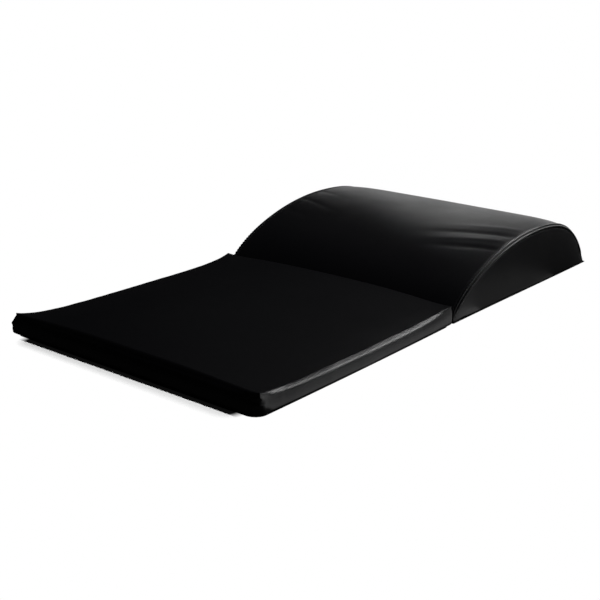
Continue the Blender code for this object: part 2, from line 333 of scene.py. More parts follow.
def mesh_from_grids(name, grids, creases=None, merge=1e-6):
    """One mesh of the quads of several grids, with the points that they share merged and the
    faces turned outwards. Creases hold a number for each point, 1 deep in a seam, 0 on open cloth
    and below 0 on a taut roll, which the mesh keeps for its material, where it sets the roughness
    and a painted shade in the grooves."""
    points, quads, start = [], [], 0
    for grid in grids:
        rows, columns = grid.shape[:2]
        index = start + np.arange(rows * columns).reshape(rows, columns)
        corners = (index[:-1, :-1], index[:-1, 1:], index[1:, 1:], index[1:, :-1])
        quads.append(np.stack(corners, -1).reshape(-1, 4))
        points.append(grid.reshape(-1, 3))
        start += rows * columns
    points = np.concatenate(points)
    quads = np.concatenate(quads)
    mesh = bpy.data.meshes.new(name)
    mesh.vertices.add(len(points))
    mesh.vertices.foreach_set("co", points.ravel())
    mesh.loops.add(quads.size)
    mesh.loops.foreach_set("vertex_index", quads.ravel())
    mesh.polygons.add(len(quads))
    mesh.polygons.foreach_set("loop_start", np.arange(0, quads.size, 4))
    mesh.update(calc_edges=True)
    if creases is not None:
        values = np.concatenate([crease.ravel() for crease in creases])
        mesh.attributes.new("crease", "FLOAT", "POINT").data.foreach_set("value", values)
    bm = bmesh.new()
    bm.from_mesh(mesh)
    bmesh.ops.remove_doubles(bm, verts=bm.verts[:], dist=merge)
    bmesh.ops.dissolve_degenerate(bm, edges=bm.edges[:], dist=merge)
    bmesh.ops.recalc_face_normals(bm, faces=bm.faces[:])
    bm.to_mesh(mesh)
    bm.free()
    mesh.shade_smooth()
    return mesh


def piece(name, mesh, finish, body=None):
    """An object at the origin with this mesh and finish, which rides on a body."""
    made = bpy.data.objects.new(name, mesh)
    mesh.materials.append(finish)
    bpy.context.scene.collection.objects.link(made)
    if body:
        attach(made, body)
    return made


# Nodes


def linear(hex_colour):
    """Red, green, blue and alpha as linear light, from an sRGB hex value."""
    text = hex_colour.lstrip("#")
    parts = [int(text[i : i + 2], 16) / 255 for i in (0, 2, 4)]
    straight = [c / 12.92 if c <= 0.04045 else ((c + 0.055) / 1.055) ** 2.4 for c in parts]
    return (*straight, 1.0)


def node(tree, kind, inputs=None, **settings):
    """Adds a node. Inputs are linked where the value is a socket, and otherwise set."""
    made = tree.nodes.new(kind)
    for key, value in settings.items():
        setattr(made, key, value)
    for key, value in (inputs or {}).items():
        if isinstance(value, bpy.types.NodeSocket):
            tree.links.new(value, made.inputs[key])
        else:
            made.inputs[key].default_value = value
    return made


def maths(tree, operation, *values):
    """A number worked out from others."""
    inputs = dict(enumerate(values))
    return node(tree, "ShaderNodeMath", inputs, operation=operation).outputs[0]


def vector_maths(tree, operation, *values, wanted="Vector"):
    """A vector worked out from others, or the number that is wanted instead."""
    inputs = dict(enumerate(values))
    return node(tree, "ShaderNodeVectorMath", inputs, operation=operation).outputs[wanted]


def ramp(tree, value, low, high, to_low, to_high):
    """Carries a value's stretch from low to high over to another stretch, held at the ends."""
    inputs = {
        "Value": value,
        "From Min": low,
        "From Max": high,
        "To Min": to_low,
        "To Max": to_high,
    }
    return node(tree, "ShaderNodeMapRange", inputs).outputs["Result"]


def blended(tree, share, first, second):
    """A colour between two, which are sockets or hex values."""
    first, second = (linear(c) if isinstance(c, str) else c for c in (first, second))
    inputs = {"Factor": share, 6: first, 7: second}
    return node(tree, "ShaderNodeMix", inputs, data_type="RGBA").outputs[2]


def place_on_object(tree):
    """Where a point lies on its object, in metres."""
    return node(tree, "ShaderNodeTexCoord").outputs["Object"]


def clouds(tree, place, scale, detail):
    """Fractal noise, as a node's outputs."""
    inputs = {"Vector": place, "Scale": scale, "Detail": detail}
    return node(tree, "ShaderNodeTexNoise", inputs).outputs


def bump(tree, height, distance, strength=1.0):
    """Shading normals of a relief this deep."""
    inputs = {"Height": height, "Distance": distance, "Strength": strength}
    return node(tree, "ShaderNodeBump", inputs).outputs["Normal"]


def plastic_surface(tree, colour, roughness, relief):
    """Ends a material as plastic with a clear sheen."""
    inputs = {
        "Base Color": colour,
        "Roughness": roughness,
        "Normal": relief,
        "IOR": PLASTIC_IOR,
    }
    shader = node(tree, "ShaderNodeBsdfPrincipled", inputs)
    node(tree, "ShaderNodeOutputMaterial", {"Surface": shader.outputs[0]})


def seen_by_camera(tree):
    """1 for rays that come from the camera, and 0 for the others."""
    ray = node(tree, "ShaderNodeLightPath").outputs
    return maths(tree, "MAXIMUM", ray["Is Camera Ray"], ray["Is Transmission Ray"])


def blank_material(name):
    """A material without nodes."""
    made = bpy.data.materials.new(name)
    made.use_nodes = True
    made.node_tree.nodes.clear()
    return made


# Materials


def coated_fabric(name, shades, grain, depth, roughness):
    """Knitted cloth coated with soft plastic and embossed with a leather grain: small rounded
    pebbles parted by fine creases, which break its satin sheen up. The grain is drawn about twice
    as coarse as the real half millimetre, so that it shows in the picture. By the mesh's
    crease values the cloth is dull in a seam's groove, with shade painted into its colour there,
    and polished on the taut rolls beside it."""
    made = blank_material(name)
    tree = made.node_tree
    place = place_on_object(tree)
    drift = clouds(tree, place, 0.3 / grain, 2.0)["Color"]
    shifted = vector_maths(tree, "MULTIPLY_ADD", drift, (grain,) * 3, place)
    cells = {"Vector": shifted, "Scale": 1 / grain}
    rim = node(tree, "ShaderNodeTexVoronoi", cells, feature="DISTANCE_TO_EDGE")
    pebble = ramp(tree, rim.outputs["Distance"], 0.0, PEBBLE_RIM, 0.0, 1.0)
    fine = clouds(tree, place, 2.5 / grain, 3.0)["Fac"]
    height = maths(tree, "MULTIPLY_ADD", fine, FINE_GRAIN, pebble)
    relief = bump(tree, height, depth)
    marks = clouds(tree, place, HANDLING_SCALE, 4.0)["Fac"]
    handled = ramp(tree, marks, 0.35, 0.65, *roughness)
    worn = maths(tree, "MULTIPLY_ADD", pebble, PEBBLE_POLISH, handled)
    seam = node(tree, "ShaderNodeAttribute", attribute_name="crease").outputs["Fac"]
    worn = maths(tree, "MULTIPLY_ADD", seam, GROOVE_DULLNESS, worn)
    cloth = blended(tree, ramp(tree, height, 0.1, 1.1, 0.0, 1.0), *shades)
    # Painted shade: by the crease values the colour turns near black in the seams' grooves, and
    # half way in the pad's corner grooves
    colour = blended(tree, seam, cloth, GROOVE_PAINTED_SHADE)
    plastic_surface(tree, colour, worn, relief)
    return made


def woven_tape(name, shades, thread, roughness):
    """Plain-woven synthetic tape: threads over and under one another, which give it a dull, even
    cross-ribbed face. Two sine waves across each other draw the weave."""
    made = blank_material(name)
    tree = made.node_tree
    inputs = {
        "Vector": place_on_object(tree),
        "Scale": 0.16 / thread,
        "Distortion": 0.4,
        "Detail": 1.0,
    }
    waves = [
        node(tree, "ShaderNodeTexWave", inputs, bands_direction=direction).outputs["Fac"]
        for direction in ("X", "Y")
    ]
    height = maths(tree, "MULTIPLY", *waves)
    relief = bump(tree, height, 0.2 * MM)
    plastic_surface(tree, blended(tree, height, *shades), roughness, relief)
    return made


def spun_thread(name, shades, roughness):
    """Bonded polyester thread: smooth plies with a little more gloss than the cloth."""
    made = blank_material(name)
    tree = made.node_tree
    plies = clouds(tree, place_on_object(tree), 1500.0, 1.0)["Fac"]
    relief = bump(tree, plies, 0.1 * MM, 0.6)
    plastic_surface(tree, blended(tree, plies, *shades), roughness, relief)
    return made


BLACKS = ("#040405", "#08080a")
COVER_FINISH = coated_fabric(
    "black_grained_coated_fabric", BLACKS, 1.2 * MM, 0.04 * MM, (0.35, 0.41)
)
BOLSTER_FINISH = coated_fabric(
    "black_taut_coated_fabric", BLACKS, 1.2 * MM, 0.04 * MM, (0.47, 0.53)
)
BASE_FINISH = coated_fabric(
    "black_coarse_coated_fabric", ("#08080a", "#131315"), 2.0 * MM, 0.12 * MM, (0.56, 0.68)
)
HINGE_FINISH = woven_tape("black_woven_hinge_tape", ("#050506", "#111113"), 1.0 * MM, 0.75)
THREAD_FINISH = spun_thread("black_bonded_thread", ("#141415", "#242426"), 0.42)


# Pad


def pulled_round(point, half_width, half_length, top, radius):
    """Rounds the upright and the upper edges of a box: each point goes to this radius from the
    nearest point of the box that is smaller by the radius."""
    low = np.stack([radius - half_width, radius - half_length, point[..., 2]], -1)
    high = np.stack([half_width - radius, half_length - radius, top - radius], -1)
    centre = np.maximum(np.minimum(point, high), np.minimum(low, high))
    arm = point - centre
    reach = np.linalg.norm(arm, axis=-1)
    pull = np.where(reach > TINY, radius / np.maximum(reach, TINY), 0.0)
    return centre + arm * pull[..., None]


def blunted(placed, half_x, half_y):
    """Rounds the near right corner in plan, all the less the nearer it is to its ear: at a height
    h from 0 to 1 a corner square of side r (1 - h^8) becomes a quarter disc."""
    height = np.clip(placed[..., 2] / PAD_THICKNESS, 0.0, 1.0)
    square = BLUNT_CORNER_ROUND * (1 - height**BLUNT_POWER)
    over_x = np.maximum(placed[..., 0] - (half_x - square), 0.0)
    over_y = np.maximum(-placed[..., 1] - (half_y - square), 0.0)
    cut = np.maximum(over_x, over_y) / np.maximum(np.hypot(over_x, over_y), TINY) - 1
    placed[..., 0] += over_x * np.where(over_y > 0, cut, 0.0)
    placed[..., 1] -= over_y * np.where(over_x > 0, cut, 0.0)
    return placed


def pad_place(u, v, w):
    """The pad's cushion form from a box's: u and v run from -1 to 1 over the width and the
    length, and w from 0 to 1 up the height. The top is crowned by 1 - |u|^3 and less in front,
    the side edges sag by 1 - v^4, and corners rise by (uv)^10. The edges are rounded, widely in
    front and tightly elsewhere, and the walls lean: a point moves in by the cube of its height,
    between the corners more than at them, and at the rear more than in front. The same (uv)^10,
    for one corner each, moves the near right, the far right and the near left corner out. The far
    right one has a small radius up its whole height. By (uv)^3 the near left one's radius is
    halved and its upper edge made as tight. Last the near right corner is blunted in plan."""
    front, rear = np.maximum(-v, 0.0), np.maximum(v, 0.0)
    ear = (np.abs(u) * np.abs(v)) ** EAR_POWER
    blunt = (np.maximum(u, 0.0) * front) ** EAR_POWER
    boxed = (np.maximum(u, 0.0) * rear) ** EAR_POWER
    near_left = np.maximum(-u, 0.0) * front
    crisp = near_left**CRISP_POWER
    crisp_out = CRISP_CORNER_OUT * near_left**EAR_POWER

    full = 1 - np.abs(u) ** CROWN_SQUARENESS
    sag = SIDE_SAG * (1 - v**4)
    crown = PAD_CROWN + (FRONT_CROWN - PAD_CROWN) * front**2 + PAD_TILT * u * rear**2
    lift = EAR_RISE * ear * (1 + (REAR_EAR_SHARE - 1) * np.sign(rear)) + BLUNT_CORNER_UP * blunt
    top = PAD_THICKNESS - sag + (crown + sag) * full + lift
    up = CUSHION_BOTTOM + w * (top - CUSHION_BOTTOM)
    half_width = HALF_WIDTH + PAD_SPREAD + PAD_BOW * (1 - v**2) + crisp_out
    half_length = PAD_LENGTH / 2 + np.where(v > 0, -REAR_ROOM, PAD_SPREAD)

    height = np.minimum(up / PAD_THICKNESS, 1.0)
    corner_round = BASE_CORNER_ROUND + (EAR_ROUND - BASE_CORNER_ROUND) * height
    corner_round = corner_round + (BOX_CORNER_ROUND - corner_round) * boxed
    corner_round = corner_round * (1 - CRISP_ROUND_SHARE * crisp)
    edge_round = EDGE_ROUND + (FRONT_EDGE_ROUND - EDGE_ROUND) * front**EAR_POWER
    tight = np.maximum(ear, crisp)
    radius = edge_round * (1 - tight) + corner_round * tight
    point = np.stack([u * half_width, v * half_length, up], -1)
    placed = pulled_round(point, half_width, half_length, top, radius)

    rise = np.clip(placed[..., 2] / (PAD_THICKNESS - sag), 0.0, 1.0) ** WALL_POWER
    side_in = SIDE_LEAN + SIDE_DRAW_IN * (1 - np.abs(v) ** EAR_POWER)
    side_in = side_in - BLUNT_CORNER_OUT * blunt - BOX_CORNER_OUT * boxed - crisp_out
    end_in = SIDE_LEAN + SIDE_DRAW_IN * (1 - np.abs(u) ** EAR_POWER) + REAR_LEAN * (v > 0)
    shrink_x = 1 + ((HALF_WIDTH - side_in) / half_width - 1) * rise
    shrink_y = 1 + ((PAD_LENGTH / 2 - end_in) / half_length - 1) * rise
    placed[..., 0] *= shrink_x
    placed[..., 1] *= shrink_y
    return blunted(placed, half_width * shrink_x, half_length * shrink_y)


def square_loop(half_lines):
    """A loop round the square from (-1, -1), as u and v, from places along half a side that are
    fine at the corner. The last point repeats the first."""
    start = -1 + half_lines / half_lines[-1]
    side = np.concatenate([start, -start[-2::-1]])[:-1]
    ones = np.ones_like(side)
    u = np.concatenate([side, ones, -side, -ones])
    v = np.concatenate([-ones, side, ones, -side])
    return np.append(u, u[0]), np.append(v, v[0])


def pad_relief(points, normals, u, v):
    """Pushes the wall of the pad in and out along its normals: upright ripples on the sides,
    which are noise with 180 and 96 heights round the pad, a sewn groove up each corner, and at the
    near corners the cloth gathered in a level fold or two, a wavering sine of the height, and
    pinched above half height. u and v are the place on the loop. Gives how creased the cover is
    as well, up to 0.5 in the grooves."""
    height = points[..., 2] / PAD_THICKNESS
    side_step = np.maximum(np.abs(u), np.abs(v))
    on_wall = smoothstep((side_step - 0.96) / 0.04) * smoothstep(height * 4)
    near = np.minimum(np.abs(u), np.abs(v))
    from_corner = (1 - near) * HALF_WIDTH * smoothstep((side_step - 0.9) / 0.1)
    from_corner = np.where(side_step > 0.9, from_corner, 1.0)
    around = np.linspace(0.0, 1.0, points.shape[1])[None, :]
    ripple = noise(around * 180, height * 0.8, 3, 180) * 0.6
    ripple = ripple + noise(around * 96, height * 0.5, 5, 96)
    ripple = ripple * RIPPLE_DEPTH * on_wall * smoothstep(from_corner / RIPPLE_CLEAR)
    ripple = ripple * (1 - smoothstep((height - 0.75) * 4))
    front = smoothstep(-v * 2)
    waver = noise(around * 60, height * 2, 7, 60) * 1.8
    level = np.sin(height * 2 * np.pi * GATHER_FOLDS + waver)
    gathers = level * GATHER_DEPTH * bell(from_corner / GATHER_REACH) * on_wall * front
    groove = bell(from_corner / GROOVE_WIDTH) * on_wall
    pinch = bell((height - PINCH_HEIGHT) / PINCH_SPAN) * bell(from_corner / PINCH_REACH)
    pinch = pinch * on_wall * front
    depth = ripple + gathers - PINCH_DEPTH * pinch - CORNER_GROOVE * groove
    return points + normals * depth[..., None], CORNER_CREASE * groove


def pad_softness(points):
    """The lie of the foam under the cover, a fraction of a millimetre: noise with heights about
    100 mm apart, and half of another with heights about 50 mm apart."""
    x, y = points[..., 0], points[..., 1]
    swell = noise(x / 0.11 + 40, y / 0.09 + 40, 11) + 0.5 * noise(x / 0.05 + 9, y / 0.06 + 9, 12)
    lifted = points.copy()
    lifted[..., 2] += swell * FOAM_SWELL * smoothstep(points[..., 2] / PAD_THICKNESS)
    return lifted


def tuck_under(points, half_x, half_y, bottom):
    """Rounds the lower rim: below the tuck's radius a point moves in by r - sqrt(r^2 - (r - h)^2)
    at height h, less the further it is from the rim."""
    moved = points.copy()
    h = np.clip(points[..., 2] - bottom, 0.0, TUCK)
    inward = TUCK - np.sqrt(np.maximum(TUCK**2 - (TUCK - h) ** 2, 0.0))
    for axis, half in ((0, half_x), (1, half_y)):
        reach = half - np.abs(points[..., axis])
        share = np.clip(1 - reach / TUCK_REACH, 0.0, 1.0)
        moved[..., axis] -= np.sign(points[..., axis]) * inward * share
    return moved


def make_pad_cushion():
    """The pad's cover over its foam, as one closed form. A loop round the pad is carried from
    the top, 37 mm in from the edge, over the round edge, down the side and under to the middle,
    and a square grid fills the top inside it."""
    loop_u, loop_v = square_loop(graded(HALF_WIDTH, *PAD_STEPS))
    edge_steps = graded((1 - PAD_INNER_SHARE) * HALF_WIDTH, *PAD_EDGE_STEPS)
    top_shares = 1 - edge_steps[::-1] / HALF_WIDTH
    downs = 1 - graded(1.0, *PAD_WALL_STEPS)[1:]
    under = 1 - graded(1.0, *PAD_UNDER_STEPS)[1:]
    shares = np.concatenate([top_shares, np.ones_like(downs), under])
    heights = np.concatenate([np.ones_like(top_shares), downs, np.zeros_like(under)])
    u = shares[:, None] * loop_u
    v = shares[:, None] * loop_v
    w = np.broadcast_to(heights[:, None], u.shape)
    wall = pad_softness(pad_place(u, v, w))
    wall = tuck_under(wall, HALF_WIDTH, PAD_LENGTH / 2, CUSHION_BOTTOM)
    wall, crease = pad_relief(wall, ring_normals(wall), u, v)
    side = np.concatenate([loop_u[: len(loop_u) // 4], [1.0]]) * PAD_INNER_SHARE
    inner_u, inner_v = np.meshgrid(side, side)
    inner = pad_softness(pad_place(inner_u, inner_v, np.ones_like(inner_u)))
    grids = [wall, inner]
    for grid in grids:
        grid[..., 1] += PAD_CENTRE
    mesh = mesh_from_grids("pad_cushion", grids, [crease, np.zeros(inner.shape[:2])])
    return piece("pad_cushion", mesh, COVER_FINISH, "pad")


# Bolster


def arch_outline():
    """Side outline of the bolster at even steps from toe to heel, as along and up, with its
    outward normals and the distance gone along it. Two cubic curves meet level at the crest."""
    length, height = BOLSTER_LENGTH, BOLSTER_HEIGHT
    crest = CREST_SHARE * length
    front = np.array(
        [
            (0.0, 0.0),
            (0.0, TOE_RISE_SHARE * height),
            (crest - CREST_LEAD_SHARE * length, height),
            (crest, height),
        ]
    )
    back = np.array(
        [
            (crest, height),
            (crest + CREST_TRAIL_SHARE * length, height),
            (length - HEEL_LEAN_SHARE * length, HEEL_RISE_SHARE * height),
            (length, 0.0),
        ]
    )
    t = np.linspace(0.0, 1.0, OUTLINE_STEPS + 1)[:, None]
    front_line = cubic(*front, np.clip(2 * t, 0.0, 1.0))
    back_line = cubic(*back, np.clip(2 * t - 1, 0.0, 1.0))
    line = np.where(t > 1 / 2, back_line, front_line)
    gone = distance_along(line)
    even = np.linspace(0.0, gone[-1], ARCH_LINES)
    place = np.stack([np.interp(even, gone, line[:, k]) for k in (0, 1)], 1)
    way = np.gradient(place, axis=0)
    way /= np.linalg.norm(way, axis=1)[:, None]
    return place, np.stack([-way[:, 1], way[:, 0]], 1), even


def round_corner(lines, turn, way):
    """Inset from the side's plane and drop below the arch, by distance from the seam. The way
    is 1 for the top panel and -1 for the side panel, and turn is the radius."""
    quarter = turn * np.pi / 4
    angle = np.pi / 4 + way * lines / np.maximum(turn, TINY)
    on_round = lines < quarter
    inset = turn * (1 - np.cos(angle))
    below = turn * (1 - np.sin(angle))
    past = turn + lines - quarter
    if way > 0:
        return np.where(on_round, inset, past), np.where(on_round, below, 0.0)
    return np.where(on_round, inset, 0.0), np.where(on_round, below, past)


def top_panel(place, normal, lines, turn):
    """The top panel from the seam to the middle, crowned by 1 - u^8."""
    inset, below = round_corner(lines, turn, 1)
    inset[:, -1] = HALF_WIDTH
    u = 1 - inset / HALF_WIDTH
    crown = CROWN_RISE * (1 - u**CROWN_POWER) * place[:, 1:] / BOLSTER_HEIGHT
    along = place[:, :1] - normal[:, :1] * below
    up = place[:, 1:] - normal[:, 1:] * below
    panel = np.stack([HALF_WIDTH - inset, along, up + crown], -1)
    panel[:, 0, 2] = up[:, 0]
    return panel


def side_panel(place, normal, foot, drop, lines, turn):
    """The side panel from the seam to the floor, in cubic curves that leave the arch squarely
    and reach the foot upright. It bulges by (4t (1 - t))^0.8. Gives each point's distance from
    the seam as well."""
    deepest = drop.max()
    inset, below = round_corner(lines, turn, -1)
    reach = below * drop / np.maximum(drop + below * (1 - drop / deepest), TINY)
    share = np.clip(reach / np.maximum(drop, TINY), 0.0, 1.0)[..., None]
    share[:, -1] = 1.0
    start, end = place[:, None, :], foot[:, None, :]
    third = drop[..., None] / 3
    lead = start - normal[:, None, :] * third
    tail = end + np.array([0.0, 1.0]) * third
    column = cubic(start, lead, tail, end, share)
    bulge = SIDE_BULGE * (4 * share * (1 - share))[..., 0] ** BULGE_POWER
    bulge = bulge * smoothstep(drop / (60 * MM))
    return np.concatenate([(HALF_WIDTH - inset + bulge)[..., None], column], -1), reach


def settle(points, height):
    """How the bolster sits: its foot spreads sideways, more towards the heel and less the higher
    a point is under the arch, and its lower edges are drawn up behind the toe, by
    exp(-((y - 24 mm) / 16 mm)^2)."""
    moved = points.copy()
    x, y, z = points[..., 0], points[..., 1], points[..., 2]
    spread = TOE_SPREAD + (HEEL_SPREAD - TOE_SPREAD) * smoothstep(y / BOLSTER_LENGTH)
    low = 1 - np.clip(z / np.maximum(height, TINY), 0.0, 1.0)
    moved[..., 0] = x * (1 + spread * low / HALF_WIDTH)
    near_side = smoothstep((np.abs(x) - HALF_WIDTH + RIM_REACH) / RIM_REACH)
    lift = TOE_LIFT * bell((y - TOE_LIFT_PLACE) / TOE_LIFT_REACH) * near_side
    moved[..., 2] += lift * (1 - smoothstep(z / TOE_LIFT_HEIGHT))
    return moved


def fold_depth(x, gone):
    """Depth of the folds in the top panel: each is a bell across a straight line, which fades in
    at its start and out towards its end."""
    folds = np.zeros_like(x)
    for x0, a0, x1, a1, width, depth in FOLDS:
        along = np.clip((x - x0 * MM) / ((x1 - x0) * MM), -0.2, 1.4)
        centre = a0 * MM + (a1 - a0) * MM * along
        fade = smoothstep((along + 0.1) * 5) * (1 - smoothstep(along / 1.15))
        folds += depth * MM * bell((gone - centre) / (width * MM)) * fade
    return folds


def bolster_relief(points, normals, from_seam, gone):
    """Pushes the bolster's cover in and out along its normals: at the seam a groove between two
    rolls, then the dips that the topstitching draws in, ripples at the stitches' pitch, and folds
    that run out from the seam into the top panel. All of it fades out near the floor. Gives the
    new normals as well, and how creased the cover is: 1 in the seams' groove, down to -0.7 on the
    taut rolls."""
    x, up = points[..., 0], points[..., 2]
    s = from_seam
    alive = smoothstep((up - RELIEF_START) / RELIEF_FADE)
    seam = bell(s / GROOVE_WIDTH) * alive
    taut = bell((np.abs(s) - ROLL_PLACE) / ROLL_WIDTH)
    dips = -DIP_DEPTH * bell((np.abs(s) - STITCH_ROW) / DIP_WIDTH)
    toe_share = 1 - smoothstep((gone - TOE_PUCKER_END) / TOE_PUCKER_FADE)
    wave = np.cos(gone / STITCH_PITCH * 2 * np.pi)
    pucker = (PUCKER_DEPTH + TOE_PUCKER_DEPTH * toe_share) * wave
    pucker = pucker * bell((np.abs(s) - PUCKER_PLACE) / PUCKER_WIDTH)
    folds = fold_depth(x, gone) * (s > 0)
    swell = noise(x / 0.09 + 30, gone / 0.08, 21) + 0.5 * noise(x / 0.04 + 7, gone / 0.05, 22)
    calm = smoothstep(np.abs(s) / (25 * MM)) * smoothstep((up - 2 * MM) / (30 * MM))
    swell = swell * COVER_SWELL * calm
    depth = (ROLL_HEIGHT * taut + dips + pucker + folds + swell) * alive - GROOVE_DEPTH * seam
    moved = points + normals * depth[..., None]
    return moved, -ring_normals(moved), seam - ROLL_POLISH * taut * alive * (1 - seam)


def make_bolster_cushion():
    """The bolster's cover over its foam, as one closed form. For each step along the arch a
    ring runs across the top panel, round the seam, down the side panel and back under."""
    place, normal, gone = arch_outline()
    length, height = BOLSTER_LENGTH, BOLSTER_HEIGHT
    foot = np.stack([length * gone / gone[-1], np.zeros(ARCH_LINES)], 1)
    drop = np.linalg.norm(place - foot, axis=1)[:, None]
    turn = SEAM_ROUND * smoothstep(drop / (8 * SEAM_ROUND))

    top_lines = graded(HALF_WIDTH - SEAM_ROUND, *TOP_STEPS)[None, :]
    side_lines = graded(drop.max(), *SIDE_STEPS)[None, :]
    under_lines = HALF_WIDTH - graded(HALF_WIDTH, *UNDER_STEPS)[1:]
    top = top_panel(place, normal, top_lines, turn)
    side, reach = side_panel(place, normal, foot, drop, side_lines, turn)
    under_x, under_y = np.meshgrid(under_lines, foot[:, 0])
    under = np.stack([under_x, under_y, np.zeros_like(under_x)], -1)

    # Half a ring from the middle of the underside, and its mirror image
    right = np.concatenate([under[:, ::-1], side[:, ::-1], top[:, 1:]], 1)
    from_seam = np.concatenate(
        [
            np.full(under.shape[:2], -1.0),
            -np.broadcast_to(reach, side.shape[:2])[:, ::-1],
            np.broadcast_to(top_lines, top.shape[:2])[:, 1:],
        ],
        1,
    )
    left = right[:, -2::-1] * np.array([-1.0, 1.0, 1.0])
    ring = np.concatenate([right, left], 1)
    from_seam = np.concatenate([from_seam, from_seam[:, -2::-1]], 1)

    ring[..., 2] = CUSHION_BOTTOM + ring[..., 2] * (1 - CUSHION_BOTTOM / height)
    ring[..., 1] -= length / 2
    ring = tuck_under(ring, HALF_WIDTH, length / 2, CUSHION_BOTTOM)
    ring[..., 1] += length / 2
    ring = settle(ring, place[:, 1:])
    ring, normals, crease = bolster_relief(ring, -ring_normals(ring), from_seam, gone[:, None])
    ring[..., 1] += TOE
    mesh = mesh_from_grids("bolster_cushion", [ring], [crease])
    made = piece("bolster_cushion", mesh, BOLSTER_FINISH, "bolster")
    return made, ring, from_seam, normals


# Threads


def make_thread(name, line, out, body):
    """Topstitching along a line on the bolster's cover, with its normals. A stitch is a round
    thread carried along a low arc that dives into the cloth at both ends, and all stitches are
    one mesh."""
    gone = distance_along(line)
    starts = np.arange(STITCH_MARGIN, gone[-1] - STITCH_MARGIN, STITCH_PITCH)
    steps = np.linspace(0.0, 1.0, STITCH_POINTS)
    along = starts[:, None] + steps[None, :] * STITCH_PITCH * STITCH_SHARE
    centre = np.stack([np.interp(along, gone, line[:, k]) for k in range(3)], -1)
    lift = np.stack([np.interp(along, gone, out[:, k]) for k in range(3)], -1)
    lift /= np.linalg.norm(lift, axis=-1, keepdims=True)
    way = np.gradient(centre, axis=1)
    way /= np.linalg.norm(way, axis=-1, keepdims=True)
    across = np.cross(way, lift)
    arc = np.sin(np.pi * steps)[None, :, None]
    centre = centre + lift * (arc * THREAD_RISE - THREAD_SUNK)
    radius = THREAD_RADIUS * np.sqrt(np.maximum(1 - (2 * steps - 1) ** 6, 0.0))
    angle = np.linspace(0.0, 2 * np.pi, THREAD_SIDES + 1)
    circle = np.cos(angle)[:, None] * across[:, :, None, :]
    circle = circle + np.sin(angle)[:, None] * lift[:, :, None, :]
    points = centre[:, :, None, :] + radius[None, :, None, None] * circle
    mesh = mesh_from_grids(name, list(points), merge=1e-7)
    return piece(name, mesh, THREAD_FINISH, body)


# Base panels and hinge


def pad_foot(x, y):
    """Spreads a rectangle's plan as the pad's foot spreads."""
    v = y / (PAD_LENGTH / 2)
    wider = 1 + (PAD_SPREAD + PAD_BOW * (1 - v**2)) / HALF_WIDTH
    longer = np.where(v > 0, 1.0, 1 + PAD_SPREAD / (PAD_LENGTH / 2))
    return x * wider, y * longer


def bolster_foot(x, y):
    """Spreads a rectangle's plan as the bolster's foot spreads."""
    heelward = smoothstep(y / BOLSTER_LENGTH + 0.5)
    return x * (1 + (TOE_SPREAD + (HEEL_SPREAD - TOE_SPREAD) * heelward) / HALF_WIDTH), y


def make_slab(
    name, finish, body, half_x, half_y, centre_y, low, high, corner, spread=None, lines=60
):
    """A flat piece of cloth as a closed form: a loop round its plan, a rectangle with corners
    rounded to this radius and spread by a function, carried over a half-round rim from its top
    to its underside. Each face has this many rings of points."""
    half = (high - low) / 2
    loop_u, loop_v = square_loop(graded(1.0, *SLAB_STEPS))
    rim = np.linspace(np.pi / 2, -np.pi / 2, RIM_POINTS)
    shares = np.linspace(0.0, 1.0, lines)[:-1]
    inner = 1 - half / min(half_x, half_y)
    insets = np.concatenate([shares * inner, [inner] * RIM_POINTS, shares[::-1] * inner])
    outs = np.concatenate([np.zeros(lines - 1), np.cos(rim), np.zeros(lines - 1)])
    ups = np.concatenate([np.ones(lines - 1), np.sin(rim), -np.ones(lines - 1)])
    x, y = insets[:, None] * loop_u * half_x, insets[:, None] * loop_v * half_y
    hx, hy = half_x - corner, half_y - corner
    over_x = np.maximum(np.abs(x) - hx, 0.0)
    over_y = np.maximum(np.abs(y) - hy, 0.0)
    both = (over_x > 0) & (over_y > 0)
    reach = np.hypot(over_x, over_y)
    scale = np.where(both, np.maximum(over_x, over_y) / np.maximum(reach, TINY), 1.0)
    x = np.sign(x) * (np.minimum(np.abs(x), hx) + over_x * scale)
    y = np.sign(y) * (np.minimum(np.abs(y), hy) + over_y * scale)
    x = x + outs[:, None] * half * np.where(np.abs(loop_u) > ON_SIDE, loop_u, 0.0)
    y = y + outs[:, None] * half * np.where(np.abs(loop_v) > ON_SIDE, loop_v, 0.0)
    if spread:
        x, y = spread(x, y)
    z = (high + low) / 2 + ups[:, None] * half + np.zeros_like(x)
    points = np.stack([x, y + centre_y, z], -1)
    return piece(name, mesh_from_grids(name, [points]), finish, body)


# Build the mat

pad_cushion = make_pad_cushion()
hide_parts("pad_cover", "pad_foam")

bolster_cushion, ring, from_seam, normals = make_bolster_cushion()
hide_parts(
    "bolster_top_panel",
    "bolster_foam",
    "bolster_side_panel_left",
    "bolster_side_panel_right",
)

on_bolster = [bolster_cushion]
half_ring = from_seam[ARCH_LINES // 2, : ring.shape[1] // 2]
for row_name, wanted in (("top", STITCH_ROW), ("side", -STITCH_ROW)):
    column = int(np.argmin(np.abs(half_ring - wanted)))
    for side_name, place in (("right", column), ("left", ring.shape[1] - 1 - column)):
        name = f"{row_name}_thread_{side_name}"
        thread = make_thread(name, ring[:, place], normals[:, place], "bolster")
        on_bolster.append(thread)

pad_base = make_slab(
    "pad_base_cloth",
    BASE_FINISH,
    "pad",
    half_x=HALF_WIDTH - BASE_INSET,
    half_y=PAD_LENGTH / 2 - BASE_INSET,
    centre_y=PAD_CENTRE,
    low=0.0,
    high=BASE_THICKNESS,
    corner=PAD_BASE_CORNER,
    spread=pad_foot,
)
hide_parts("pad_base_panel")

